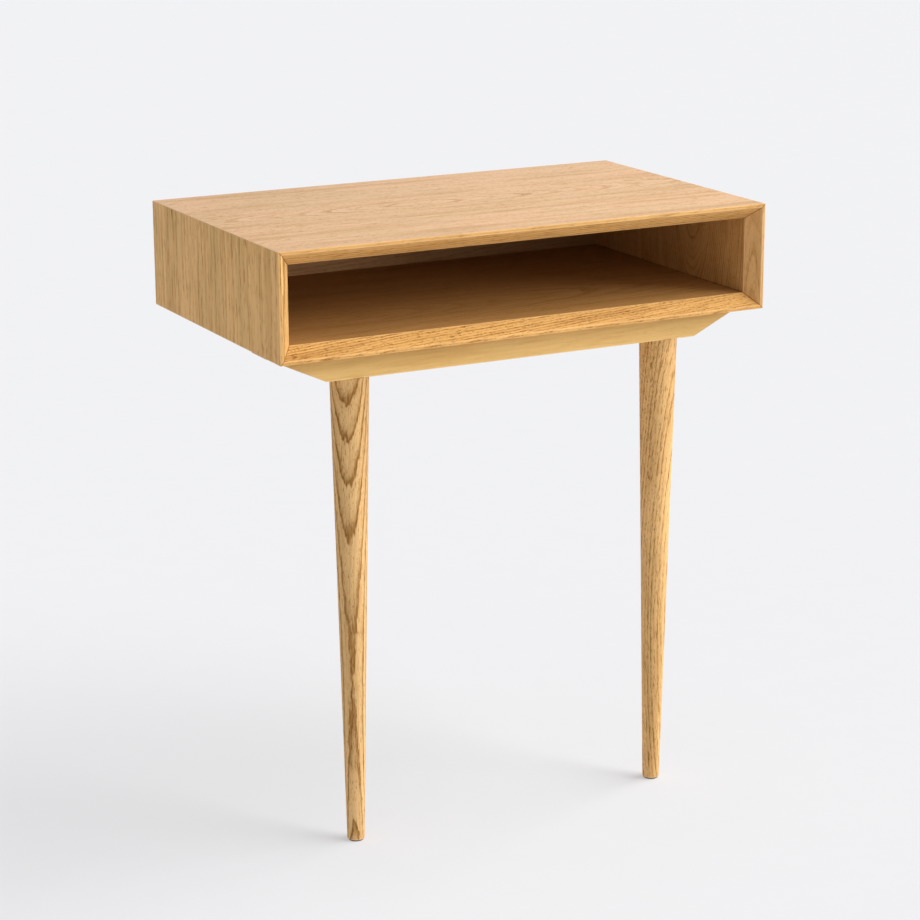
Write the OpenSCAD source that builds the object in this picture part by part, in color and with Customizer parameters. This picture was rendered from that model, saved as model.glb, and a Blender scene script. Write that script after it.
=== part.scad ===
// Wall-fixed bedside cabinet in oak: an open mitred box on a front rail and two turned legs.
// Origin: on the floor, at the centre of the footprint. +X right, +Y to the wall, +Z up.

/* [Cabinet] */
// Overall width, left to right
cabinet_w = 520; // [460:5:640]
// Overall depth, front edge to wall
cabinet_d = 305; // [260:5:400]
// Overall height, floor to top surface
cabinet_h = 600; // [500:5:700]
// Outside height of the open box
box_h = 104.5; // [95:0.5:180]

/* [Boards] */
// Thickness of the four veneered boards
board_t = 15; // [14:0.5:20]
// Thickness of the plywood back panel
back_t = 3.5; // [3:0.5:5]
// Width of the rebate that the back panel sits in
rebate_w = 7.5; // [5:0.5:9]
// Depth of the solid lipping, front to back
lip_d = 14; // [10:0.5:20]
// Width of the flat at the very front of the lipping
lip_flat = 3.4; // [2:0.2:6]

/* [Front rail] */
// Height of the front rail under the box
rail_h = 28; // [26:0.5:45]
// Thickness of the front rail, front to back
rail_t = 34; // [30:1:45]
// Distance of the front rail behind the front edge
rail_setback = 31.5; // [16:0.5:60]
// How far each end of the front rail slants inwards, top to bottom
rail_slant = 60; // [30:1:80]

/* [Legs] */
// Distance of each leg's axis from the lower corner of the front rail
leg_inset = 31; // [24:1:40]
// Diameter of a leg at its top
leg_top_d = 37.5; // [32:0.5:45]
// Diameter of a leg at its foot
leg_foot_d = 17; // [16:0.5:28]
// Thickness of the glide under each leg
glide_t = 1.5; // [1:0.5:3]

/* [Wall fixing] */
// Height of the hanging rail inside the box
hanger_h = 30; // [24:1:40]
// Thickness of the hanging rail
hanger_t = 15; // [12:1:20]
// Distance between the two wall screws
wall_screw_spacing = 400; // [300:10:400]
// Diameter of each wall screw hole
wall_screw_d = 5.5; // [4.5:0.5:6.5]

/* [Hidden] */
$fn = 64;

// Clearance round a glued or driven piece, and the overrun that makes a cut clean.
fit = 0.05;
cut = 1;
// Sides of the circle in pins and nails.
small_fn = 24;

// Planes of the cabinet.
front_y = -cabinet_d / 2;
back_y = cabinet_d / 2;
box_z = cabinet_h - box_h;
box_mid_z = cabinet_h - box_h / 2;
rail_z = box_z - rail_h;
rail_y = front_y + rail_setback + rail_t / 2;
inner_w = cabinet_w - 2 * board_t;
panel_y = back_y - back_t;
leg_x = cabinet_w / 2 - rail_slant - leg_inset;
// Spacing along X that keeps the pins and the hanging rail's dowels clear of each other.
fixing_pitch = 0.18 * cabinet_w;

// Loose plywood splines in the mitres.
spline_t = 3;
spline_w = 10;
spline_margin = 18;
spline_len = cabinet_d - lip_d - back_t - 2 * spline_margin;
spline_y = front_y + lip_d + spline_margin + spline_len / 2;
spline_inset = 0.55 * board_t;

// Gap round the back panel in its rebate.
panel_gap = 0.2;

// Panel pins that hold the back in its rebate.
pin_d = 1.2;
pin_len = 15;
pin_head_d = 2.6;
pin_head_t = 0.8;
pin_inset = board_t - rebate_w / 2;
pin_steps = [-2.5, -1.5, -0.5, 0.5, 1.5, 2.5];
pin_side_z = 0.22 * box_h;

// Dowels: [diameter, length, depth in the box board].
hanger_dowel = [6, 22, 9];
rail_dowel = [8, 24, 9];
hanger_dowel_xs = [-fixing_pitch, 0, fixing_pitch];
rail_dowel_xs = [-0.545 * leg_x, 0, 0.545 * leg_x];
hanger_z = cabinet_h - board_t - hanger_h;
hanger_y = panel_y - hanger_t / 2;

// Screws that draw the front rail up to the bottom board.
screw_d = 4;
screw_len = 28;
screw_head_d = 8;
screw_head_h = 2.6;
screw_shank_len = 12;
screw_pitch = 1.6;
screw_bite = 10;
screw_counterbore = rail_h + screw_bite - screw_len;
screw_leg_gap = 37;
screw_xs = [screw_leg_gap - leg_x, -0.27 * leg_x, 0.27 * leg_x, leg_x - screw_leg_gap];
recess_w = 4;
recess_t = 1;
recess_depth = 1.6;

// Hanger bolt and threaded insert that carry each leg.
bolt_d = 8;
bolt_wood_len = 34;
bolt_metric_len = 19;
bolt_wood_pitch = 3.2;
bolt_wood_depth = 1.2;
bolt_metric_pitch = 1.25;
bolt_metric_depth = 0.7;
bolt_waist = 2;
bolt_tip_h = 4;
insert_d = 12;
insert_len = 18;
insert_pitch = 2.5;
insert_ridge = 0.5;
insert_groove = 0.2;
insert_flange_d = 17;
insert_flange_t = 1.5;
leg_h = rail_z - glide_t;
leg_chamfer = 0.8;

// Nail-on glide.
glide_d = 15;
glide_edge = 0.4;
glide_nail_d = 2;
glide_nail_len = 14;
glide_nail_tip_d = 0.4;
glide_nail_tip_h = 2;

// Draws children, a shape in X and Z, as a bar from one Y to another.
module along_y(y0, y1) {
    translate([0, y1, 0]) rotate([90, 0, 0]) linear_extrude(y1 - y0) children();
}

// Draws children, a shape in Y and Z, as a bar of a length centred across X.
module along_x(len) {
    rotate([90, 0, 90]) translate([0, 0, -len / 2]) linear_extrude(len) children();
}

// Places children, drawn as the top side with its outer face at z = 0, on one side of the box.
module on_side(side) {
    if (side == "top") translate([0, 0, cabinet_h]) children();
    if (side == "bottom") translate([0, 0, box_z]) mirror([0, 0, 1]) children();
    if (side == "left") translate([-cabinet_w / 2, 0, box_mid_z]) rotate([0, -90, 0]) children();
    if (side == "right") translate([cabinet_w / 2, 0, box_mid_z]) rotate([0, 90, 0]) children();
}

function side_length(side) = side == "top" || side == "bottom" ? cabinet_w : box_h;

// The outline of one side of the box, mitred at 45 degrees at both ends.
module mitred_outline(len) {
    polygon([
        [-len / 2, 0], [len / 2, 0],
        [len / 2 - board_t, -board_t], [-len / 2 + board_t, -board_t]
    ]);
}

module spline_blank(sx, sz, gap) {
    translate([
        sx * (cabinet_w / 2 - spline_inset),
        spline_y,
        box_mid_z + sz * (box_h / 2 - spline_inset)
    ])
        rotate([0, 45 * sx * sz, 0])
            cube([spline_w + 2 * gap, spline_len + 2 * gap, spline_t + 2 * gap], center = true);
}

module all_spline_slots() {
    for (sx = [-1, 1], sz = [-1, 1]) spline_blank(sx, sz, fit);
}

// The space for the back panel, open at the rear.
module back_rebate() {
    w = cabinet_w - 2 * (board_t - rebate_w);
    h = box_h - 2 * (board_t - rebate_w);
    translate([-w / 2, panel_y, box_mid_z - h / 2]) cube([w, back_t + cut, h]);
}

// Puts children on each pin's axis, with z = 0 at the rear face and +z forwards.
module at_pins() {
    for (i = pin_steps, sz = [-1, 1])
        translate([i * fixing_pitch, back_y, box_mid_z + sz * (box_h / 2 - pin_inset)])
            rotate([90, 0, 0]) children();
    for (sx = [-1, 1], sz = [-1, 1])
        translate([sx * (cabinet_w / 2 - pin_inset), back_y, box_mid_z + sz * pin_side_z])
            rotate([90, 0, 0]) children();
}

module pin_holes() {
    at_pins() {
        translate([0, 0, -cut]) cylinder(d = pin_d + 2 * fit, h = pin_len + cut + fit, $fn = small_fn);
        translate([0, 0, -cut]) cylinder(d = pin_head_d + 2 * fit, h = pin_head_t + cut, $fn = small_fn);
    }
}

// A chamfered dowel pin standing on z = 0.
module dowel(size) {
    r = size[0] / 2;
    len = size[1];
    chamfer = r / 3;
    rotate_extrude()
        polygon([
            [0, 0], [r - chamfer, 0], [r, chamfer],
            [r, len - chamfer], [r - chamfer, len], [0, len]
        ]);
}

module dowel_hole(size) {
    translate([0, 0, -fit]) cylinder(d = size[0] + 2 * fit, h = size[1] + 2 * fit);
}

module at_hanger_dowels() {
    for (x = hanger_dowel_xs)
        translate([x, hanger_y, cabinet_h - board_t + hanger_dowel[2] - hanger_dowel[1]])
            children();
}

module at_rail_dowels() {
    for (x = rail_dowel_xs)
        translate([x, rail_y, box_z + rail_dowel[2] - rail_dowel[1]]) children();
}

module at_screws() {
    for (x = screw_xs) translate([x, rail_y, rail_z + screw_counterbore]) children();
}

module screw_holes() {
    at_screws() {
        translate([0, 0, -screw_counterbore - cut])
            cylinder(d = screw_head_d + 1, h = screw_counterbore + cut);
        cylinder(d1 = screw_head_d + 2 * fit, d2 = screw_d + 2 * fit, h = screw_head_h);
        cylinder(d = screw_d + 2 * fit, h = screw_len + fit);
    }
}

// Points of a ridged edge: from the core radius out to the crest and back, once per pitch.
function ridges(core_r, crest_r, pitch, z0, count) = [
    for (i = [0 : count - 1], k = [0 : 1])
        k == 0 ? [core_r, z0 + i * pitch] : [crest_r, z0 + (i + 0.5) * pitch]
];

module ridged_rod(core_r, crest_r, pitch, z0, count) {
    top = z0 + count * pitch;
    rotate_extrude()
        polygon(concat(
            [[0, z0]],
            ridges(core_r, crest_r, pitch, z0, count),
            [[core_r, top], [0, top]]
        ));
}

// A veneered board: mitred ends, slots for the splines, a rebate for the back, holes for the pins.
module board(side) {
    color("burlywood")
        difference() {
            on_side(side) along_y(front_y + lip_d, back_y) mitred_outline(side_length(side));
            all_spline_slots();
            back_rebate();
            pin_holes();
            if (side == "top") at_hanger_dowels() dowel_hole(hanger_dowel);
            if (side == "bottom") at_rail_dowels() dowel_hole(rail_dowel);
            if (side == "bottom") screw_holes();
        }
}

// A solid strip along a board's front edge, bevelled from its narrow front flat back to the inner face.
module lipping(side) {
    len = side_length(side);
    color("goldenrod")
        on_side(side)
            intersection() {
                along_y(front_y, front_y + lip_d) mitred_outline(len);
                along_x(len)
                    polygon([
                        [front_y, 0], [front_y + lip_d, 0],
                        [front_y + lip_d, -board_t], [front_y, -lip_flat]
                    ]);
            }
}

module spline(sx, sz) {
    color("peru") spline_blank(sx, sz, 0);
}

module back_panel() {
    w = cabinet_w - 2 * (board_t - rebate_w) - 2 * panel_gap;
    h = box_h - 2 * (board_t - rebate_w) - 2 * panel_gap;
    color("tan")
        difference() {
            translate([-w / 2, panel_y, box_mid_z - h / 2]) cube([w, back_t, h]);
            pin_holes();
            wall_screw_holes();
        }
}

module back_panel_pins() {
    color("silver")
        at_pins() union() {
            cylinder(d = pin_head_d, h = pin_head_t, $fn = small_fn);
            cylinder(d = pin_d, h = pin_len, $fn = small_fn);
        }
}

module wall_screw_holes() {
    for (sx = [-1, 1])
        translate([sx * wall_screw_spacing / 2, back_y + cut, hanger_z + hanger_h / 2])
            rotate([90, 0, 0]) cylinder(d = wall_screw_d, h = back_t + hanger_t + 2 * cut);
}

module hanging_rail() {
    sink = wall_screw_d / 2;
    color("wheat")
        difference() {
            translate([-inner_w / 2, panel_y - hanger_t, hanger_z])
                cube([inner_w, hanger_t, hanger_h]);
            wall_screw_holes();
            for (sx = [-1, 1])
                translate([sx * wall_screw_spacing / 2, panel_y - hanger_t, hanger_z + hanger_h / 2])
                    rotate([-90, 0, 0]) cylinder(d1 = 2 * wall_screw_d, d2 = wall_screw_d, h = sink);
            at_hanger_dowels() dowel_hole(hanger_dowel);
        }
}

module hanging_rail_dowels() {
    color("wheat") at_hanger_dowels() dowel(hanger_dowel);
}

module front_rail() {
    color("goldenrod")
        difference() {
            along_y(rail_y - rail_t / 2, rail_y + rail_t / 2)
                polygon([
                    [-cabinet_w / 2, box_z], [cabinet_w / 2, box_z],
                    [cabinet_w / 2 - rail_slant, rail_z], [-cabinet_w / 2 + rail_slant, rail_z]
                ]);
            for (sx = [-1, 1]) translate([sx * leg_x, rail_y, rail_z]) insert_hole();
            at_rail_dowels() dowel_hole(rail_dowel);
            screw_holes();
        }
}

module front_rail_dowels() {
    color("wheat") at_rail_dowels() dowel(rail_dowel);
}

// Countersunk wood screws, driven upwards, each with a cross recess.
module front_rail_screws() {
    thread_z = screw_head_h + screw_shank_len;
    turns = floor((screw_len - thread_z) / screw_pitch) - 1;
    shank_r = 0.36 * screw_d;
    core_r = 0.3 * screw_d;
    tip_r = 0.1;
    color("silver")
        at_screws()
            difference() {
                rotate_extrude()
                    polygon(concat(
                        [[0, 0], [screw_head_d / 2, 0], [shank_r, screw_head_h], [shank_r, thread_z]],
                        ridges(core_r, screw_d / 2, screw_pitch, thread_z, turns),
                        [[core_r, thread_z + turns * screw_pitch]],
                        [[tip_r, thread_z + (turns + 1) * screw_pitch]],
                        [[0, thread_z + (turns + 1) * screw_pitch]]
                    ));
                for (a = [0, 90])
                    rotate([0, 0, a])
                        translate([-recess_w / 2, -recess_t / 2, -cut])
                            cube([recess_w, recess_t, recess_depth + cut]);
            }
}

module insert_hole() {
    translate([0, 0, -cut]) cylinder(d = insert_flange_d + 2 * fit, h = insert_flange_t + cut + fit);
    cylinder(d = insert_d + 2 * insert_ridge + 2 * fit, h = insert_len + fit);
    cylinder(d = bolt_d + 1, h = bolt_metric_len + 2);
}

// Steel insert: a flange at the rail's underside, coarse ridges outside, a plain bore for the bolt.
module leg_insert(sx) {
    r = insert_d / 2;
    turns = floor((insert_len - insert_flange_t) / insert_pitch);
    color("silver")
        translate([sx * leg_x, rail_y, rail_z])
            difference() {
                union() {
                    cylinder(d = insert_flange_d, h = insert_flange_t);
                    cylinder(d = insert_d, h = insert_len);
                    ridged_rod(r - insert_groove, r + insert_ridge, insert_pitch, insert_flange_t, turns);
                }
                translate([0, 0, -cut]) cylinder(d = bolt_d + 2 * fit, h = insert_len + 2 * cut);
            }
}

// Hanger bolt: coarse wood ridges down in the leg, fine ridges up in the insert, a plain waist between.
module leg_bolt(sx) {
    r = bolt_d / 2;
    wood_core = r - bolt_wood_depth;
    metric_core = r - bolt_metric_depth;
    wood_turns = floor((bolt_wood_len - bolt_waist) / bolt_wood_pitch);
    metric_turns = floor((bolt_metric_len - bolt_waist) / bolt_metric_pitch);
    wood_z = -bolt_waist - wood_turns * bolt_wood_pitch;
    metric_end = bolt_waist + metric_turns * bolt_metric_pitch;
    color("silver")
        translate([sx * leg_x, rail_y, rail_z])
            rotate_extrude()
                polygon(concat(
                    [[0, wood_z - bolt_tip_h], [wood_core / 3, wood_z - bolt_tip_h]],
                    ridges(wood_core, r, bolt_wood_pitch, wood_z, wood_turns),
                    [[wood_core, -bolt_waist], [metric_core, -bolt_waist]],
                    ridges(metric_core, r, bolt_metric_pitch, bolt_waist, metric_turns),
                    [[metric_core, metric_end], [0, metric_end]]
                ));
}

// Turned leg: a straight taper, a chamfered foot, a bore for the bolt and a hole for the glide's nail.
module leg(sx) {
    color("goldenrod")
        translate([sx * leg_x, rail_y, glide_t])
            difference() {
                rotate_extrude()
                    polygon([
                        [0, 0], [leg_foot_d / 2 - leg_chamfer, 0], [leg_foot_d / 2, leg_chamfer],
                        [leg_top_d / 2, leg_h], [0, leg_h]
                    ]);
                translate([0, 0, leg_h - bolt_wood_len - bolt_tip_h])
                    cylinder(d = bolt_d + 2 * fit, h = bolt_wood_len + bolt_tip_h + cut);
                translate([0, 0, -cut])
                    cylinder(d = glide_nail_d + 2 * fit, h = glide_nail_len + cut + fit, $fn = small_fn);
            }
}

// Glide: a low disc under the foot, with the nail that holds it.
module foot_glide(sx) {
    r = glide_d / 2;
    nail_r = glide_nail_d / 2;
    nail_end = glide_t + glide_nail_len;
    color("saddlebrown")
        translate([sx * leg_x, rail_y, 0])
            rotate_extrude()
                polygon([
                    [0, 0], [r - glide_edge, 0], [r, glide_edge], [r, glide_t], [nail_r, glide_t],
                    [nail_r, nail_end - glide_nail_tip_h], [glide_nail_tip_d / 2, nail_end], [0, nail_end]
                ]);
}

board("top");  // top_board
board("bottom");  // bottom_board
board("left");  // left_board
board("right");  // right_board
lipping("top");  // top_lipping
lipping("bottom");  // bottom_lipping
lipping("left");  // left_lipping
lipping("right");  // right_lipping
spline(-1, 1);  // spline_top_left
spline(1, 1);  // spline_top_right
spline(-1, -1);  // spline_bottom_left
spline(1, -1);  // spline_bottom_right
back_panel();
back_panel_pins();
hanging_rail();
hanging_rail_dowels();
front_rail();
front_rail_dowels();
front_rail_screws();
leg(-1);  // left_leg
leg(1);  // right_leg
leg_insert(-1);  // left_leg_insert
leg_insert(1);  // right_leg_insert
leg_bolt(-1);  // left_leg_bolt
leg_bolt(1);  // right_leg_bolt
foot_glide(-1);  // left_foot_glide
foot_glide(1);  // right_foot_glide
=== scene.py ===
"""Looks for the wall-fixed oak bedside cabinet. Metres, in the CAD frame: +X right, +Y to the wall, +Z up."""

import math

import bmesh
import bpy
from mathutils import Matrix, Vector


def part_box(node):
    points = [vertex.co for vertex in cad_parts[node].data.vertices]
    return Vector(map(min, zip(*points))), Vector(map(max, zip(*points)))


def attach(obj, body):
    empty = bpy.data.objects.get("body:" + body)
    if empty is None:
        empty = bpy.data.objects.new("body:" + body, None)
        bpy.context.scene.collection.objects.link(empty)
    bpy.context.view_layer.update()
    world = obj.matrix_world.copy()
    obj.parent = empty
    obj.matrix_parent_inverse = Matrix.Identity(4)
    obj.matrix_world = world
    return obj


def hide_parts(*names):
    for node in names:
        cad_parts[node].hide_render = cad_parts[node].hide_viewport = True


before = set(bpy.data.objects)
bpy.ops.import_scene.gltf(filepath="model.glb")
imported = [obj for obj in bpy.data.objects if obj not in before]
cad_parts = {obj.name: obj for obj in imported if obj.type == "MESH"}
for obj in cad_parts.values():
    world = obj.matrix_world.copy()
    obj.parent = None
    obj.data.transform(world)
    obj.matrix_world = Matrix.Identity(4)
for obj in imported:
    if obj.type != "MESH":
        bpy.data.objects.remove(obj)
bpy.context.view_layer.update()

MM = 0.001
# Two places nearer than this are the same.
TOUCH = 0.01 * MM
# A CAD point this near to a face belongs to it.
ON_FACE = 0.1 * MM
SIDES = ("top", "bottom", "left", "right")

# ---------------------------------------------------------------- sizes, from the CAD nodes

top_lo, top_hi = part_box("top_board")
lip_lo, lip_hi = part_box("top_lipping")
panel_lo, panel_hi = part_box("back_panel")
rail_lo, rail_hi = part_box("front_rail")
hanger_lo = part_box("hanging_rail")[0]

HALF_W = top_hi.x
TOP_Z = top_hi.z
BOX_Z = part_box("bottom_board")[0].z
MID_Z = (TOP_Z + BOX_Z) / 2
HALF_H = (TOP_Z - BOX_Z) / 2
BOARD_T = top_hi.z - top_lo.z
FRONT_Y = lip_lo.y
LIP_Y = lip_hi.y
BACK_Y = top_hi.y
PANEL_Y = panel_lo.y
# The back panel lies loose in its rebate by this much on each side.
PANEL_GAP = 0.2 * MM
REBATE_INSET = HALF_W - panel_hi.x - PANEL_GAP


def cad_points(node):
    return [v.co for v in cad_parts[node].data.vertices]


# Width of the narrow flat at the front of the lipping.
LIP_FLAT = TOP_Z - min(p.z for p in cad_points("top_lipping") if p.y < FRONT_Y + ON_FACE)

# ---------------------------------------------------------------- node helpers


class Tree:
    """A short way to build a material's nodes. Values are numbers, tuples or sockets."""

    def __init__(self, name):
        self.material = bpy.data.materials.new(name)
        self.material.use_nodes = True
        self.nt = self.material.node_tree
        self.nt.nodes.clear()
        self.out = self.nt.nodes.new("ShaderNodeOutputMaterial")

    def put(self, socket, value):
        if isinstance(value, bpy.types.NodeSocket):
            self.nt.links.new(value, socket)
        else:
            socket.default_value = value

    def math(self, op, a, b=0.0, c=0.0, clamp=False):
        n = self.nt.nodes.new("ShaderNodeMath")
        n.operation = op
        n.use_clamp = clamp
        for socket, value in zip(n.inputs, (a, b, c)):
            self.put(socket, value)
        return n.outputs[0]

    def vec(self, op, a, b=(0.0, 0.0, 0.0)):
        n = self.nt.nodes.new("ShaderNodeVectorMath")
        n.operation = op
        self.put(n.inputs[0], a)
        self.put(n.inputs[1], b)
        return n.outputs["Value" if op == "LENGTH" else "Vector"]

    def split(self, v):
        n = self.nt.nodes.new("ShaderNodeSeparateXYZ")
        self.put(n.inputs[0], v)
        return n.outputs[0], n.outputs[1], n.outputs[2]

    def join(self, x, y, z):
        n = self.nt.nodes.new("ShaderNodeCombineXYZ")
        for socket, value in zip(n.inputs, (x, y, z)):
            self.put(socket, value)
        return n.outputs[0]

    def object_mm(self):
        """The point in the object's own space, in millimetres."""
        n = self.nt.nodes.new("ShaderNodeTexCoord")
        s = self.nt.nodes.new("ShaderNodeVectorMath")
        s.operation = "SCALE"
        self.nt.links.new(n.outputs["Object"], s.inputs[0])
        s.inputs["Scale"].default_value = 1.0 / MM
        return s.outputs["Vector"]

    def noise(self, v, detail, rough, colour=False):
        n = self.nt.nodes.new("ShaderNodeTexNoise")
        n.noise_dimensions = "3D"
        self.put(n.inputs["Vector"], v)
        n.inputs["Scale"].default_value = 1.0
        n.inputs["Detail"].default_value = detail
        n.inputs["Roughness"].default_value = rough
        return n.outputs["Color" if colour else "Fac"]

    def cloud(self, waves, detail, rough):
        """Noise that is the same in all directions, with so many waves a millimetre."""
        return self.noise(self.vec("MULTIPLY", self.object_mm(), (waves, waves, waves)), detail, rough)

    def random(self, w):
        n = self.nt.nodes.new("ShaderNodeTexWhiteNoise")
        n.noise_dimensions = "1D"
        self.put(n.inputs["W"], w)
        return n.outputs["Value"]

    def step(self, value, low, high, to_low=0.0, to_high=1.0):
        """Smooth step from low to high."""
        n = self.nt.nodes.new("ShaderNodeMapRange")
        n.interpolation_type = "SMOOTHSTEP"
        n.clamp = True
        for socket, x in zip(n.inputs, (value, low, high, to_low, to_high)):
            self.put(socket, x)
        return n.outputs[0]

    def mix(self, fac, a, b, blend="MIX"):
        n = self.nt.nodes.new("ShaderNodeMix")
        n.data_type = "RGBA"
        n.blend_type = blend
        self.put(n.inputs["Factor"], fac)
        colours = [s for s in n.inputs if s.type == "RGBA"]
        for socket, value in zip(colours, (a, b)):
            if isinstance(value, tuple) and len(value) == 3:
                value = (*value, 1.0)
            self.put(socket, value)
        return [s for s in n.outputs if s.type == "RGBA"][0]

    def shade(self, colour, roughness, bump=None, strength=0.0, distance=0.0, **values):
        """The surface. bump is a height, of which 1 stands distance high. values are set on the shader."""
        n = self.nt.nodes.new("ShaderNodeBsdfPrincipled")
        self.put(n.inputs["Base Color"], colour)
        self.put(n.inputs["Roughness"], roughness)
        for key, value in values.items():
            n.inputs[key].default_value = value
        if bump is not None:
            b = self.nt.nodes.new("ShaderNodeBump")
            b.inputs["Strength"].default_value = strength
            b.inputs["Distance"].default_value = distance
            self.put(b.inputs["Height"], bump)
            self.nt.links.new(b.outputs[0], n.inputs["Normal"])
        self.nt.links.new(n.outputs[0], self.out.inputs["Surface"])
        return self.material


# ---------------------------------------------------------------- oak

LACQUER_ROUGHNESS = 0.53
LACQUER = {"IOR": 1.48, "Specular IOR Level": 0.12}
WOOD_BUMP = 0.35
WOOD_RELIEF = 0.12 * MM


def tone(colour, depth):
    """Oak grows redder as it darkens, and paler towards yellow."""
    return tuple(min(1.0, c * depth**power) for c, power in zip(colour, (1.0, 1.4, 2.6)))


class Grain:
    """A board's own axes, in millimetres from origin: u along the grain, v across the face, w through it."""

    def __init__(self, t, order, origin, lean, bow, seed):
        self.t = t
        self.seed = seed
        p = t.vec("SUBTRACT", t.object_mm(), tuple(x / MM for x in origin))
        parts = dict(zip("xyz", t.split(p)))
        self.u, v, w = (parts[a] for a in order)
        self.u2 = t.math("MULTIPLY", self.u, self.u)
        self.v = self.aside(v, lean[0], bow[0])
        self.w = self.aside(w, lean[1], bow[1])

    def aside(self, x, slope, curve):
        """A place across the grain, less what the grain's slope and curve carry it aside there."""
        if slope:
            x = self.t.math("SUBTRACT", x, self.t.math("MULTIPLY", self.u, slope))
        if curve:
            x = self.t.math("SUBTRACT", x, self.t.math("MULTIPLY", self.u2, curve))
        return x

    def noise(self, along, across, shift, detail, rough, colour=False):
        """Noise, in waves a millimetre along and across the grain. shift sets one apart from another."""
        place = self.t.join(
            self.t.math("MULTIPLY", self.u, along),
            self.t.math("MULTIPLY", self.v, across),
            self.t.math("MULTIPLY_ADD", self.w, across, self.seed + shift),
        )
        return self.t.noise(place, detail, rough, colour)


def early_wood(grain, pith, arch, spacing, phase, fade, even, crown, wobble):
    """A mask of each year's early wood, dark and porous, which starts sharply and fades into late wood."""
    t = grain.t
    wander_v, wander_w, _ = t.split(grain.noise(0.006, 0.014, 0.0, 2.0, 0.5, colour=True))
    v = t.math("MULTIPLY_ADD", t.math("SUBTRACT", wander_v, 0.5), 2.0 * wobble, grain.v)
    w = t.math("MULTIPLY_ADD", t.math("SUBTRACT", wander_w, 0.5), 2.0 * wobble, grain.w)
    dv = t.math("SUBTRACT", v, pith[0])
    dw = t.math("SUBTRACT", w, pith[1])
    if arch[0]:
        dip = t.math("SQRT", t.math("ADD", grain.u2, arch[1] * arch[1]))
        dw = t.math("ADD", dw, t.math("MULTIPLY", dip, arch[0]))
    distance = t.vec("LENGTH", t.join(dv, dw, 0.0))
    shiver = grain.noise(0.05, 0.25, 7.0, 2.0, 0.6)
    turns = t.math("MULTIPLY_ADD", distance, 1.0 / spacing, phase)
    rings = t.math("MULTIPLY_ADD", t.math("SUBTRACT", shiver, 0.5), 0.55, turns)
    year = t.math("FLOOR", rings)
    part = t.math("FRACT", rings)
    vary = t.random(t.math("ADD", year, grain.seed + 0.5))
    line = t.step(part, 0.10, 0.7 * fade, 0.6, 0.0)
    tail = t.step(part, 0.15, 1.2 * fade, 0.4, 0.0)
    early = t.math("MULTIPLY", t.step(part, 0.0, 0.10), t.math("ADD", line, tail))
    strength = t.math("MULTIPLY_ADD", vary, 0.9 * (1.0 - even), 0.3 + 0.6 * even)
    early = t.math("MULTIPLY", early, strength, clamp=True)
    if crown:
        flat_cut = t.math("POWER", t.math("DIVIDE", dw, distance), 2.0)
        early = t.math("MULTIPLY", early, t.math("MULTIPLY_ADD", flat_cut, crown, 1.0 - crown))
    return early


def pore_mask(grain, early, size, length):
    """Pores in two sizes, which crowd in the early wood."""
    t = grain.t
    small = grain.noise(0.13 / (size * length), 1.5 / size, 3.0, 1.0, 0.5)
    large = grain.noise(0.05 / (size * length), 0.8 / size, 5.0, 2.0, 0.55)
    gate = t.math("MULTIPLY_ADD", early, -0.12, 0.64)
    return t.math(
        "MAXIMUM",
        t.step(t.math("SUBTRACT", small, gate), -0.01, 0.06),
        t.step(t.math("SUBTRACT", large, gate), -0.02, 0.08),
    )


def fleck_mask(grain, size, length, clump):
    """Dark flecks, longer than the pores. clump gathers them into patches."""
    t = grain.t
    fleck = t.step(grain.noise(0.028 / length, 0.30 / size, 23.0, 2.0, 0.5), 0.60, 0.76)
    if clump:
        crowd = grain.noise(0.006, 0.03, 37.0, 1.0, 0.5)
        fleck = t.math("MULTIPLY", fleck, t.step(crowd, 0.42, 0.56, 1.0 - clump, 1.0))
    return fleck


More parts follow.
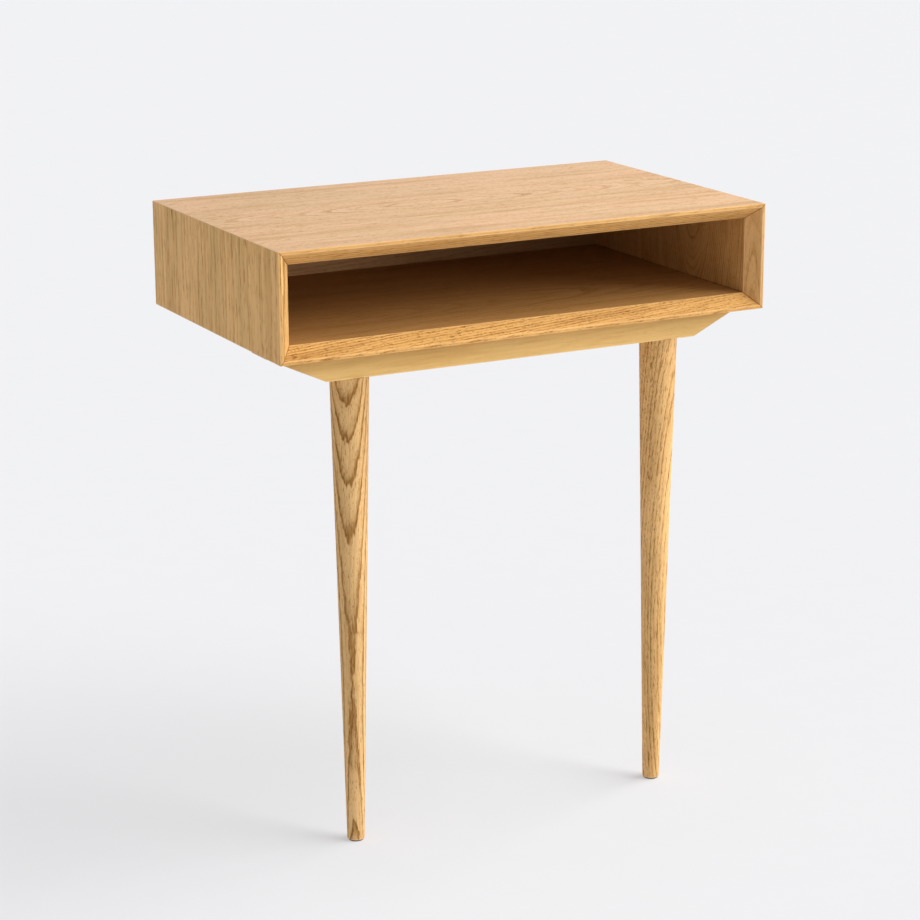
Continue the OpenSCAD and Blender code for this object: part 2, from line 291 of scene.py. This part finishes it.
def oak(
    name,
    order,
    origin,
    pith,
    light,
    lean=(0.0, 0.0),
    bow=(0.0, 0.0),
    arch=(0.0, 1.0),
    spacing=2.4,
    phase=0.0,
    fade=0.75,
    even=0.0,
    crown=0.0,
    depth=0.60,
    blotch_colour=(0.60, 0.43, 0.22),
    blotch=0.5,
    ring=0.35,
    bands=0.25,
    flecks=0.3,
    pores=0.5,
    fibre=0.4,
    pore_size=1.0,
    pore_length=1.0,
    fleck_size=1.0,
    fleck_length=1.0,
    grain_size=1.0,
    clump=0.0,
    painted_shade_ramp=None,
    wobble=4.0,
    seed=0.0,
    marks=None,
):
    """Clear-lacquered oak. order names the axes that run along the grain, across the face and through it.

    The rings: pith is the middle of the tree's rings, in millimetres across and through the board from
    origin.
    lean and bow carry the grain aside along its length, as a slope and as a curve. arch makes the pith dip:
    its slope and its width. spacing is a year's width in millimetres, and phase moves the rings by a part of
    it.
    fade is how much of a year its early wood takes up, even makes the years alike, crown keeps the rings to
    where the cut is flat, and wobble is how far they wander, in millimetres.

    The colours: light is the wood between the marks, and depth is how dark the marks are against it. blotch,
    ring, bands, flecks, pores and fibre say how strongly each kind of mark shows. Sizes and lengths of marks
    are times those of plain oak. clump gathers the flecks into patches. The argument after clump paints
    shade:
    it darkens the board along the grain, from one place to another, by a colour. marks gives masks of the
    glue lines and worn arrises."""
    t = Tree(name)
    grain = Grain(t, order, origin, lean, bow, seed)
    early = early_wood(grain, pith, arch, spacing, phase, fade, even, crown, wobble)
    pore = pore_mask(grain, early, pore_size, pore_length)
    fleck = fleck_mask(grain, fleck_size, fleck_length, clump)
    patch = grain.noise(0.007, 0.022, 17.0, 2.0, 0.55)
    broad = grain.noise(0.005, 0.075, 29.0, 2.0, 0.5)
    fine = grain.noise(0.016, 0.55 / grain_size, 11.0, 4.0, 0.65)

    dark = tone(light, depth)
    body = t.mix(t.step(patch, 0.38, 0.62, 0.0, blotch), light, blotch_colour)
    body = t.mix(t.step(broad, 0.46, 0.72, 0.0, bands), body, dark)
    body = t.mix(t.step(fine, 0.46, 0.80, 0.0, fibre), body, dark)
    body = t.mix(t.step(fine, 0.46, 0.25, 0.0, 0.30), body, tone(light, 1.15))
    body = t.mix(t.math("MULTIPLY", early, ring), body, dark)
    body = t.mix(t.math("MULTIPLY", fleck, flecks), body, tone(light, 0.9 * depth))
    body = t.mix(t.math("MULTIPLY", pore, pores), body, tone(light, 0.7 * depth))
    # Painted shade: the board darkens along the grain, from one place to another, by a colour.
    if painted_shade_ramp:
        body = t.mix(t.step(grain.u, painted_shade_ramp[0], painted_shade_ramp[1]), body, painted_shade_ramp[2], "MULTIPLY")
    height = t.math("MULTIPLY_ADD", fine, 0.25, t.math("MULTIPLY", pore, -1.0))
    rough = t.math("MULTIPLY_ADD", pore, 0.22, t.math("MULTIPLY_ADD", fine, 0.14, LACQUER_ROUGHNESS))
    if marks is not None:
        joint, edge = marks(t)
        worn = t.math("MULTIPLY", edge, t.step(fine, 0.30, 0.62, 0.45, 1.0))
        body = t.mix(t.math("MULTIPLY", worn, 0.55), body, tone(light, 1.2))
        rough = t.math("MULTIPLY_ADD", worn, 0.10, rough)
        if joint is not None:
            body = t.mix(joint, body, tone(light, 0.35))
            height = t.math("MULTIPLY_ADD", joint, -1.5, height)
    return t.shade(body, rough, height, WOOD_BUMP, WOOD_RELIEF, **LACQUER)


# ---------------------------------------------------------------- mesh helpers

# Faces that meet at more than this angle keep a sharp edge in their shading.
SHARP_ANGLE = math.radians(30)
FILLET_STEPS = 4
# Vertices this near to each other are one, in metres.
MERGE = 1e-7


def smooth_shading(mesh):
    mesh.shade_smooth()
    mesh.set_sharp_from_angle(angle=SHARP_ANGLE)


def finish_mesh(name, bm, material):
    bmesh.ops.remove_doubles(bm, verts=bm.verts, dist=MERGE)
    bmesh.ops.dissolve_degenerate(bm, edges=bm.edges, dist=MERGE)
    bmesh.ops.recalc_face_normals(bm, faces=bm.faces)
    mesh = bpy.data.meshes.new(name)
    bm.to_mesh(mesh)
    bm.free()
    smooth_shading(mesh)
    mesh.materials.append(material)
    obj = bpy.data.objects.new(name, mesh)
    bpy.context.scene.collection.objects.link(obj)
    return obj


def fillet(corner, before, after, r):
    """Points that round a corner of an outline between its neighbours."""
    c, a, b = Vector(corner), Vector(before), Vector(after)
    da, db = (a - c).normalized(), (b - c).normalized()
    half = da.angle(db) / 2
    back = r / math.tan(half)
    centre = c + (da + db).normalized() * (r / math.sin(half))
    p, q = c + da * back, c + db * back
    pa, qa = p - centre, q - centre
    turn = math.atan2(pa.x * qa.y - pa.y * qa.x, pa.dot(qa))
    points = []
    for i in range(FILLET_STEPS + 1):
        angle = turn * i / FILLET_STEPS
        co, si = math.cos(angle), math.sin(angle)
        points.append((centre.x + pa.x * co - pa.y * si, centre.y + pa.x * si + pa.y * co))
    return points


def eased(outline):
    """An outline with each corner (x, y, radius) rounded."""
    points = []
    for i, (x, y, r) in enumerate(outline):
        before, after = outline[i - 1], outline[(i + 1) % len(outline)]
        if r > 0:
            points += fillet((x, y), before[:2], after[:2], r)
        else:
            points.append((x, y))
    return points


def side_place(side, along, inset, y):
    """A point of one side of the box, so far along it from its middle and so far in from its outer face."""
    if side == "top":
        return (along, y, TOP_Z - inset)
    if side == "bottom":
        return (-along, y, BOX_Z + inset)
    if side == "right":
        return (HALF_W - inset, y, MID_Z - along)
    return (-HALF_W + inset, y, MID_Z + along)


def mitred_row(half, inset, corner_r):
    """Points (along, inset) between a side's two mitres. Near the outer face they turn its round corners."""
    if inset < corner_r:
        r = corner_r - inset
        angles = (math.pi / 4, 3 * math.pi / 8, math.pi / 2)
        turn = [(corner_r - half - r * math.cos(a), corner_r - r * math.sin(a)) for a in angles]
    else:
        turn = [(inset - half, inset)]
    return turn + [(-s, d) for s, d in reversed(turn)]


def bridge(bm, a, b):
    """Faces between two rows of vertices, of which one may turn the corners while the other is straight."""
    if len(a) == len(b):
        return [bm.faces.new((a[k], a[k + 1], b[k + 1], b[k])) for k in range(len(a) - 1)]
    long, short = (a, b) if len(a) > len(b) else (b, a)
    m = len(long) // 2
    faces = []
    for k in range(m - 1):
        faces.append(bm.faces.new((long[k], long[k + 1], short[0])))
        faces.append(bm.faces.new((long[-1 - k], long[-2 - k], short[1])))
    faces.append(bm.faces.new((long[m - 1], long[m], short[1], short[0])))
    return faces


def make_ring_side(name, side, profile, corner_r, material, face_material=None):
    """One side of the box: profile, points of (inset from the outer face, y), swept between two mitres.
    face_material is for the outer face, where it differs."""
    half = HALF_W if side in ("top", "bottom") else HALF_H
    bm = bmesh.new()
    rows = [
        [bm.verts.new(side_place(side, s, d, y)) for s, d in mitred_row(half, inset, corner_r)]
        for inset, y in profile
    ]
    for i, row in enumerate(rows):
        j = (i + 1) % len(rows)
        faces = bridge(bm, row, rows[j])
        outer = profile[i][0] < TOUCH and profile[j][0] < TOUCH
        for face in faces:
            face.material_index = 1 if outer and face_material else 0
    bm.faces.new([row[0] for row in rows])
    bm.faces.new([row[-1] for row in rows])
    obj = finish_mesh(name, bm, material)
    if face_material:
        obj.data.materials.append(face_material)
    return obj


def make_lathe(name, centre, profile, material, around=96):
    """A turned piece: profile, points of (radius, z), from axis to axis."""
    bm = bmesh.new()
    turns = [(math.cos(2 * math.pi * k / around), math.sin(2 * math.pi * k / around)) for k in range(around)]
    rows = []
    for r, z in profile:
        ring = turns if r > 0 else [(0.0, 0.0)]
        rows.append([bm.verts.new((centre[0] + r * co, centre[1] + r * si, z)) for co, si in ring])
    for a, b in zip(rows, rows[1:]):
        for k in range(around):
            j = (k + 1) % around
            if len(a) == 1:
                bm.faces.new((a[0], b[k], b[j]))
            elif len(b) == 1:
                bm.faces.new((a[k], b[0], a[j]))
            else:
                bm.faces.new((a[k], b[k], b[j], a[j]))
    return finish_mesh(name, bm, material)


def make_prism(name, outline, y0, y1, edge, material):
    """A bar: outline, corners (x, z, radius), from y0 to y1, with its two ends eased by edge."""
    bm = bmesh.new()
    points = eased(outline)
    front = [bm.verts.new((x, y0, z)) for x, z in points]
    back = [bm.verts.new((x, y1, z)) for x, z in points]
    n = len(points)
    faces = [bm.faces.new(front), bm.faces.new(list(reversed(back)))]
    for i in range(n):
        j = (i + 1) % n
        bm.faces.new((front[i], back[i], back[j], front[j]))
    bmesh.ops.bevel(
        bm,
        geom=[e for f in faces for e in f.edges],
        offset=edge,
        offset_type="OFFSET",
        segments=2,
        profile=0.5,
        affect="EDGES",
        clamp_overlap=True,
    )
    return finish_mesh(name, bm, material)


def cut_out(obj, cutters):
    """Takes the cutters away from obj, and removes them."""
    for c in cutters:
        m = obj.modifiers.new("cut", "BOOLEAN")
        m.operation = "DIFFERENCE"
        m.solver = "EXACT"
        m.object = c
    bpy.context.view_layer.update()
    mesh = bpy.data.meshes.new_from_object(obj.evaluated_get(bpy.context.evaluated_depsgraph_get()))
    mesh.name = obj.name
    obj.modifiers.clear()
    old = obj.data
    obj.data = mesh
    bpy.data.meshes.remove(old)
    for c in cutters:
        bpy.data.objects.remove(c)
    smooth_shading(mesh)


# ---------------------------------------------------------------- bores, from the CAD nodes

# The solids of one node stand further apart than this along x.
SOLID_GAP = 20 * MM
# A bore and its counterbore lie within this of their axis.
BORE_REACH = 12 * MM
# A cutter runs on by this much past an open end.
BORE_OVERRUN = 1 * MM
BORE_SIDES = 44


def centres(node):
    """The middle, in x and y, of each of a node's solids."""
    groups = []
    for p in sorted(cad_points(node), key=lambda p: p.x):
        if not groups or p.x - groups[-1][-1].x > SOLID_GAP:
            groups.append([])
        groups[-1].append(p)
    return [((g[0].x + g[-1].x) / 2, (min(p.y for p in g) + max(p.y for p in g)) / 2) for g in groups]


def bore_profile(node, x, y):
    """The outline of a turned hole of a CAD node: (radius, z) going up, from the node's own points."""
    rows = {}
    for p in cad_points(node):
        r = math.hypot(p.x - x, p.y - y)
        if r < BORE_REACH:
            rows.setdefault(round(p.z, 5), set()).add(round(r, 5))
    points = []
    for z in sorted(rows):
        radii = sorted(rows[z])
        points.append((radii[-1], z))
        if len(radii) > 1:
            points.append((radii[0], z))
    return points


def bore(node, x, y, material):
    """A cutter the shape of a CAD node's turned hole, run on past the node where the hole is open."""
    lo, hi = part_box(node)
    points = bore_profile(node, x, y)
    (r0, z0), (r1, z1) = points[0], points[-1]
    if z0 < lo.z + TOUCH:
        points = [(r0, z0 - BORE_OVERRUN)] + points[1:]
    if z1 > hi.z - TOUCH:
        points = points[:-1] + [(r1, z1 + BORE_OVERRUN)]
    closed = [(0, points[0][1])] + points + [(0, points[-1][1])]
    return make_lathe("cutter", (x, y), closed, material, BORE_SIDES)


# ---------------------------------------------------------------- how a piece stands for a node


def stand_in(obj, node):
    """obj is shown in place of a CAD node, which is hidden."""
    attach(obj, "root")
    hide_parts(node)


def dress(node, material):
    """A CAD node is shown as it is, in a material."""
    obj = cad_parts[node]
    obj.data.materials.clear()
    obj.data.materials.append(material)


# ---------------------------------------------------------------- the box

# Radii of the box's edges: outside, at the lipping's front flat, at the bevel's inner end, and behind.
CORNER_R = 0.8 * MM
FLAT_R = 0.8 * MM
BEVEL_R = 0.7 * MM
REAR_R = 0.5 * MM
REBATE_R = 0.3 * MM
# Radius of the edges that leave a fine open line between a board and its lipping.
JOINT_R = 0.06 * MM
# The bevel ends this far in front of the board.
BEVEL_STOP = 0.3 * MM
# The arched figure of the top has its middle here.
TOP_FIGURE_X = -27 * MM


def near(t, px, qx, py, qy):
    """A mask of the places within about a millimetre of a line that runs square to two coordinates."""
    away = t.vec("LENGTH", t.join(t.math("SUBTRACT", px, qx), t.math("SUBTRACT", py, qy), 0.0))
    return t.step(away, 0.5, 1.3, 1.0, 0.0)


def box_marks(side):
    """Masks of a side of the box: the glue lines between sides, and the arrises, where lacquer is thin."""

    def masks(t):
        x, y, z = t.split(t.object_mm())
        in_x = t.math("SUBTRACT", HALF_W / MM, t.math("ABSOLUTE", x))
        in_z = t.math("SUBTRACT", HALF_H / MM, t.math("ABSOLUTE", t.math("SUBTRACT", z, MID_Z / MM)))
        # The glue line is where both insets are the same. It is a hair wide, and fades out at the arris.
        gap = t.math("ABSOLUTE", t.math("SUBTRACT", in_x, in_z))
        joint = t.step(gap, 0.2, 0.75, 0.85, 0.0)
        joint = t.math("MULTIPLY", joint, t.step(t.math("ADD", in_x, in_z), 0.8, 2.0))
        inset = in_z if side in ("top", "bottom") else in_x

        edge = near(t, in_x, 0.0, in_z, 0.0)
        for place, depth in ((FRONT_Y, 0.0), (FRONT_Y, LIP_FLAT), (LIP_Y, BOARD_T), (BACK_Y, 0.0)):
            edge = t.math("MAXIMUM", edge, near(t, y, place / MM, inset, depth / MM))
        return joint, edge

    return masks


def side_oak(name, side, **values):
    """Oak of one side of the box: the grain runs along the side."""
    order = "xyz" if side in ("top", "bottom") else "zyx"
    origin = {
        "top": (TOP_FIGURE_X, 0, TOP_Z),
        "bottom": (0, 0, BOX_Z),
        "left": (-HALF_W, 0, MID_Z),
        "right": (HALF_W, 0, MID_Z),
    }[side]
    return oak(name, order, origin, marks=box_marks(side), **values)


oaks = {
    "top_board": side_oak(
        "oak_top",
        "top",
        pith=(9.5, -27.0),
        arch=(0.075, 18.0),
        spacing=2.7,
        light=(0.78, 0.512, 0.318),
        blotch_colour=(0.73, 0.502, 0.302),
        blotch=0.7,
        crown=0.75,
        ring=0.50,
        bands=0.40,
        flecks=0.50,
        pores=0.50,
        fibre=0.30,
        pore_size=1.3,
        pore_length=0.5,
        fleck_size=1.6,
        fleck_length=0.6,
        grain_size=1.5,
        clump=0.7,
        seed=1.3,
    ),
    "bottom_board": side_oak(
        "oak_shelf",
        "bottom",
        pith=(-60.0, -90.0),
        lean=(0.01, -0.05),
        spacing=2.7,
        # Darker than the other boards' oak: partly the shelf's own tone, partly painted shade for the dim
        # niche.
        light=(0.44, 0.24, 0.082),
        blotch_colour=(0.41, 0.225, 0.075),
        blotch=0.6,
        ring=0.30,
        bands=0.25,
        flecks=0.25,
        pores=0.3,
        fibre=0.3,
        seed=4.1,
    ),
    "left_board": side_oak(
        "oak_left",
        "left",
        pith=(-330.0, 260.0),
        lean=(0.012, 0.01),
        spacing=6.5,
        light=(0.785, 0.470, 0.192),
        depth=0.46,
        blotch_colour=(0.675, 0.419, 0.165),
        blotch=0.9,
        ring=0.10,
        bands=0.34,
        flecks=1.0,
        pores=0.40,
        fibre=0.42,
        pore_size=1.6,
        fleck_size=2.1,
        fleck_length=0.8,
        grain_size=2.2,
        clump=0.85,
        seed=9.7,
    ),
    "right_board": side_oak(
        "oak_right",
        "right",
        pith=(-45.0, -34.0),
        lean=(0.0, 0.30),
        spacing=3.0,
        light=(0.60, 0.335, 0.12),
        blotch_colour=(0.53, 0.29, 0.10),
        ring=0.70,
        bands=0.40,
        pores=0.4,
        wobble=3.0,
        seed=12.9,
    ),
    "top_lipping": side_oak(
        "oak_top_lip",
        "top",
        pith=(60.0, -30.0),
        lean=(-0.02, 0.02),
        spacing=2.8,
        light=(0.735, 0.417, 0.150),
        depth=0.45,
        blotch_colour=(0.645, 0.36, 0.118),
        ring=0.60,
        flecks=0.5,
        pores=0.55,
        fleck_size=1.0,
        fleck_length=0.9,
        clump=0.5,
        wobble=5.0,
        seed=21.0,
    ),
    "bottom_lipping": side_oak(
        "oak_bottom_lip",
        "bottom",
        pith=(20.0, 60.0),
        lean=(0.05, 0.08),
        spacing=2.6,
        light=(0.79, 0.443, 0.147),
        depth=0.40,
        blotch_colour=(0.68, 0.369, 0.106),
        ring=0.55,
        bands=0.4,
        flecks=0.55,
        pores=0.75,
        fibre=0.5,
        pore_size=1.0,
        pore_length=0.4,
        fleck_size=0.7,
        fleck_length=0.4,
        seed=25.5,
    ),
    "left_lipping": side_oak(
        "oak_left_lip",
        "left",
        pith=(-190.0, 40.0),
        lean=(0.02, 0.0),
        spacing=2.4,
        light=(0.75, 0.45, 0.172),
        depth=0.48,
        blotch_colour=(0.68, 0.39, 0.135),
        ring=0.6,
        pores=0.6,
        fibre=0.5,
        seed=31.0,
    ),
    "right_lipping": side_oak(
        "oak_right_lip",
        "right",
        pith=(-137.0, 1.5),
        lean=(0.036, 0.044),
        spacing=2.2,
        light=(0.73, 0.42, 0.17),
        blotch_colour=(0.64, 0.36, 0.13),
        ring=0.36,
        pores=0.35,
        seed=36.0,
    ),
}

lip_profile = eased([
    (0, LIP_Y, JOINT_R),
    (0, FRONT_Y, CORNER_R),
    (LIP_FLAT, FRONT_Y, FLAT_R),
    (BOARD_T, LIP_Y - BEVEL_STOP, BEVEL_R),
    (BOARD_T, LIP_Y, JOINT_R),
])
board_profile = eased([
    (0, BACK_Y, REAR_R),
    (0, LIP_Y, JOINT_R),
    (BOARD_T, LIP_Y, JOINT_R),
    (BOARD_T, PANEL_Y, 0),
    (REBATE_INSET, PANEL_Y, 0),
    (REBATE_INSET, BACK_Y, REBATE_R),
])
for side in SIDES:
    board_oak, lip_oak = oaks[side + "_board"], oaks[side + "_lipping"]
    board = make_ring_side("oak_board_" + side, side, board_profile, CORNER_R, board_oak)
    stand_in(board, side + "_board")
    # The board's veneer runs on over the lipping's outer face.
    lipping = make_ring_side("oak_lipping_" + side, side, lip_profile, CORNER_R, lip_oak, board_oak)
    stand_in(lipping, side + "_lipping")

# ---------------------------------------------------------------- front rail

RAIL_EDGE_R = 1.0 * MM
RAIL_END_EASE = 0.6 * MM


def rail_marks(t):
    """The rail's lower arrises, where the lacquer is thin. It has no glue line."""
    x, y, z = t.split(t.object_mm())
    front = near(t, y, rail_lo.y / MM, z, rail_lo.z / MM)
    back = near(t, y, rail_hi.y / MM, z, rail_lo.z / MM)
    return None, t.math("MAXIMUM", front, back)


# Where the slanted ends meet the underside.
slant_x = max(p.x for p in cad_points("front_rail") if p.z < rail_lo.z + ON_FACE)
rail_oak = oak(
    "oak_rail",
    "xyz",
    (0, rail_lo.y, rail_lo.z),
    pith=(90.0, 20.0),
    lean=(0.0, 0.015),
    spacing=2.6,
    light=(0.86, 0.555, 0.21),
    blotch_colour=(0.77, 0.51, 0.19),
    blotch=0.6,
    ring=0.28,
    bands=0.3,
    flecks=0.08,
    pores=0.12,
    fibre=0.4,
    grain_size=1.8,
    seed=44.0,
    marks=rail_marks,
)
rail_outline = [
    (-rail_hi.x, rail_hi.z, 0),
    (-slant_x, rail_lo.z, RAIL_EDGE_R),
    (slant_x, rail_lo.z, RAIL_EDGE_R),
    (rail_hi.x, rail_hi.z, 0),
]
rail = make_prism("oak_front_rail", rail_outline, rail_lo.y, rail_hi.y, RAIL_END_EASE, rail_oak)
fixings = ("front_rail_screws", "front_rail_dowels", "left_leg_insert", "right_leg_insert")
cut_out(rail, [bore("front_rail", x, y, rail_oak) for node in fixings for x, y in centres(node)])
stand_in(rail, "front_rail")

# ---------------------------------------------------------------- legs

# The chamfer at a leg's foot is lower than this.
FOOT_CHAMFER_MAX = 1.2 * MM
FOOT_EDGE_R = 0.7 * MM
LEG_TOP_R = 0.3 * MM
BOLT_HOLE_R = 4.05 * MM
NAIL_HOLE_R = 1.05 * MM


def leg_sizes(node):
    """A leg's axis, its radius at the top and at the foot, and its lowest and highest points."""
    lo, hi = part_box(node)
    x, y = (lo.x + hi.x) / 2, (lo.y + hi.y) / 2
    foot = [p for p in cad_points(node) if p.z < lo.z + FOOT_CHAMFER_MAX]
    return (x, y), (hi.x - lo.x) / 2, max(math.hypot(p.x - x, p.y - y) for p in foot), lo.z, hi.z


def leg_origin(node, height):
    return (*leg_sizes(node)[0], height)


def leg_marks(node):
    """A leg's lower arris, where the lacquer is thin. It has no glue line."""
    centre, _, r_foot, z_foot, _ = leg_sizes(node)

    def masks(t):
        x, y, z = t.split(t.vec("SUBTRACT", t.object_mm(), (centre[0] / MM, centre[1] / MM, 0.0)))
        radius = t.vec("LENGTH", t.join(x, y, 0.0))
        return None, near(t, radius, r_foot / MM, z, z_foot / MM)

    return masks


def make_leg(node, material):
    """A turned leg, with the hole of its hanger bolt above and of its glide's nail below."""
    centre, r_top, r_foot, z_foot, z_top = leg_sizes(node)
    bolt_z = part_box(node + "_bolt")[0].z
    nail_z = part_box(node.replace("leg", "foot_glide"))[1].z
    outer = eased([
        (NAIL_HOLE_R, z_foot, 0),
        (r_foot, z_foot, FOOT_EDGE_R),
        (r_top, z_top, LEG_TOP_R),
        (BOLT_HOLE_R, z_top, 0),
    ])
    profile = [(0, nail_z), (NAIL_HOLE_R, nail_z)] + outer + [(BOLT_HOLE_R, bolt_z), (0, bolt_z)]
    return make_lathe("oak_" + node, centre, profile, material)


leg_oaks = {
    # The pith lies behind the left leg and nearest at a third of its height, so its figure is a string of Vs
    # that point down to that height, and up below it.
    "left_leg": oak(
        "oak_left_leg",
        "zxy",
        leg_origin("left_leg", 0.165),
        pith=(10.55, 18.3),
        lean=(-0.012, -0.0185),
        bow=(0.000125, 0.000128),
        spacing=3.3,
        phase=-0.08,
        fade=0.55,
        even=0.8,
        light=(0.812, 0.512, 0.226),
        depth=0.36,
        blotch_colour=(0.70, 0.438, 0.183),
        ring=0.9,
        bands=0.2,
        flecks=0.25,
        pores=0.62,
        pore_length=0.8,
        fibre=0.45,
        wobble=0.9,
        seed=52.0,
        marks=leg_marks("left_leg"),
    ),
    "right_leg": oak(
        "oak_right_leg",
        "zxy",
        leg_origin("right_leg", 0.20),
        pith=(-70.0, 40.0),
        lean=(0.03, 0.0),
        bow=(0.0004, 0.0),
        spacing=3.4,
        light=(0.85, 0.524, 0.220),
        depth=0.38,
        blotch_colour=(0.73, 0.44, 0.175),
        ring=0.35,
        bands=0.30,
        flecks=0.9,
        pores=0.65,
        pore_length=0.8,
        fibre=0.45,
        fleck_size=0.55,
        fleck_length=0.8,
        wobble=1.5,
        seed=58.0,
        marks=leg_marks("right_leg"),
    ),
}
for node, leg_oak in leg_oaks.items():
    stand_in(make_leg(node, leg_oak), node)

# ---------------------------------------------------------------- materials of the CAD nodes that stay


def steel():
    t = Tree("zinc_plated_steel")
    cloud = t.cloud(0.4, 3.0, 0.6)
    grit = t.cloud(6.0, 2.0, 0.5)
    colour = t.mix(t.step(cloud, 0.35, 0.7), (0.62, 0.63, 0.64), (0.50, 0.49, 0.45))
    rough = t.math("MULTIPLY_ADD", cloud, 0.25, 0.22)
    return t.shade(colour, rough, grit, 0.15, 0.05 * MM, Metallic=1.0)


def nylon():
    t = Tree("brown_nylon")
    cloud = t.cloud(0.25, 3.0, 0.6)
    grit = t.cloud(3.0, 3.0, 0.6)
    colour = t.mix(cloud, (0.10, 0.066, 0.042), (0.15, 0.10, 0.065))
    return t.shade(colour, t.math("MULTIPLY_ADD", grit, 0.2, 0.5), grit, 0.3, 0.08 * MM)


panel_oak = oak(
    "oak_back_panel",
    "xzy",
    (0, PANEL_Y, MID_Z),
    pith=(25.0, 80.0),
    lean=(0.0, 0.05),
    spacing=2.8,
    light=(0.85, 0.54, 0.283),
    blotch_colour=(0.75, 0.50, 0.25),
    ring=0.25,
    pores=0.3,
    # The panel darkens towards its right end: painted shade, for the right board's shadow in the niche.
    painted_shade_ramp=(-200.0, 260.0, (0.45, 0.37, 0.31)),
    seed=71.0,
)
hanger_oak = oak(
    "oak_hanging_rail",
    "xyz",
    (0, hanger_lo.y, hanger_lo.z),
    pith=(50.0, 10.0),
    light=(0.72, 0.42, 0.15),
    seed=77.0,
)
beech = oak(
    "beech_dowels",
    "zxy",
    (0, 0, 0),
    pith=(30.0, 30.0),
    spacing=3.0,
    light=(0.66, 0.42, 0.24),
    ring=0.15,
    pores=0.15,
    seed=83.0,
)
plywood = oak(
    "birch_splines",
    "yxz",
    (0, 0, 0),
    pith=(30.0, 30.0),
    spacing=1.2,
    light=(0.70, 0.51, 0.30),
    ring=0.3,
    pores=0.15,
    seed=89.0,
)

steel_material = steel()
nylon_material = nylon()

dress("back_panel", panel_oak)
dress("hanging_rail", hanger_oak)
for node in ("hanging_rail_dowels", "front_rail_dowels"):
    dress(node, beech)
for node in ("spline_top_left", "spline_top_right", "spline_bottom_left", "spline_bottom_right"):
    dress(node, plywood)
for node in ("back_panel_pins", "front_rail_screws"):
    dress(node, steel_material)
for hand in ("left", "right"):
    dress(hand + "_leg_insert", steel_material)
    dress(hand + "_leg_bolt", steel_material)
    dress(hand + "_foot_glide", nylon_material)

# ---------------------------------------------------------------- floor

# Metres from the middle to each side.
FLOOR_REACH = 400.0
# The floor glows a little, as a lit studio floor does, so the object's shadow on it stays faint.
FLOOR_GLOW = {"Emission Color": (0.985, 0.985, 1.0, 1.0), "Emission Strength": 0.38}


def make_floor():
    bm = bmesh.new()
    for x, y in ((-1, -1), (1, -1), (1, 1), (-1, 1)):
        bm.verts.new((x * FLOOR_REACH, y * FLOOR_REACH, 0.0))
    bm.faces.new(bm.verts)
    t = Tree("pale_floor")
    colour = t.mix(t.cloud(0.02, 4.0, 0.6), (0.427, 0.434, 0.456), (0.443, 0.450, 0.472))
    return finish_mesh("floor", bm, t.shade(colour, 0.9, **{"Specular IOR Level": 0.1}, **FLOOR_GLOW))


make_floor()

# ---------------------------------------------------------------- light

SKY_LIGHT = (0.48, 0.48, 0.48, 1.0)
# The floor as it looks from afar.
FAR_FLOOR = (0.882, 0.887, 0.908, 1.0)
# The sky takes the floor's tone below this, as the sine of the angle above the horizon.
HORIZON_RISE = 0.04
WARM = (1.0, 0.985, 0.96)


def make_world():
    """Even white light from above, and from the horizon down the floor's tone, for where the floor ends."""
    world = bpy.data.worlds.new("studio")
    world.use_nodes = True
    nodes, links = world.node_tree.nodes, world.node_tree.links
    direction = nodes.new("ShaderNodeTexCoord").outputs["Generated"]
    parts = nodes.new("ShaderNodeSeparateXYZ")
    links.new(direction, parts.inputs["Vector"])
    rise = nodes.new("ShaderNodeMapRange")
    rise.inputs["From Max"].default_value = HORIZON_RISE
    links.new(parts.outputs["Z"], rise.inputs["Value"])
    blend = nodes.new("ShaderNodeMixRGB")
    blend.inputs["Color1"].default_value = FAR_FLOOR
    blend.inputs["Color2"].default_value = SKY_LIGHT
    links.new(rise.outputs["Result"], blend.inputs["Fac"])
    links.new(blend.outputs["Color"], nodes["Background"].inputs["Color"])
    return world


def towards(turn, height):
    """The direction turn degrees round from the front towards +X, and height degrees up."""
    h, e = math.radians(turn), math.radians(height)
    return Vector((math.sin(h) * math.cos(e), -math.cos(h) * math.cos(e), math.sin(e)))


def sun_light(name, turn, height, spread, strength):
    """A soft distant light that comes from turn and height, as wide as spread, all in degrees."""
    data = bpy.data.lights.new(name, "SUN")
    data.angle = math.radians(spread)
    data.energy = strength
    data.color = WARM
    obj = bpy.data.objects.new(name, data)
    obj.rotation_mode = "QUATERNION"
    obj.rotation_quaternion = towards(turn, height).to_track_quat("Z", "Y")
    bpy.context.scene.collection.objects.link(obj)


bpy.context.scene.world = make_world()
sun_light("key", turn=70.5, height=39.5, spread=62.0, strength=2.98)
sun_light("low", turn=48.0, height=14.0, spread=26.0, strength=1.0)

# ---------------------------------------------------------------- camera

CAMERA_PLACE = (-1.19532, -2.28754, 1.05175)
# Degrees.
CAMERA_TURN = -27.6248
CAMERA_HEIGHT = 15.4751
CAMERA_ROLL = -0.2018
# Millimetres.
CAMERA_LENS = 103.98
CAMERA_SENSOR = 36.0


def make_camera():
    data = bpy.data.cameras.new("camera")
    data.sensor_width = CAMERA_SENSOR
    data.lens = CAMERA_LENS
    obj = bpy.data.objects.new("camera", data)
    bpy.context.scene.collection.objects.link(obj)
    back = towards(CAMERA_TURN, CAMERA_HEIGHT)
    right = Vector((0, 0, 1)).cross(back).normalized()
    facing = Matrix((right, back.cross(right), back)).transposed()
    tilt = Matrix.Rotation(math.radians(CAMERA_ROLL), 4, "Z")
    obj.matrix_world = Matrix.Translation(CAMERA_PLACE) @ facing.to_4x4() @ tilt
    return obj


bpy.context.scene.camera = make_camera()
bpy.context.scene.view_settings.view_transform = "Standard"
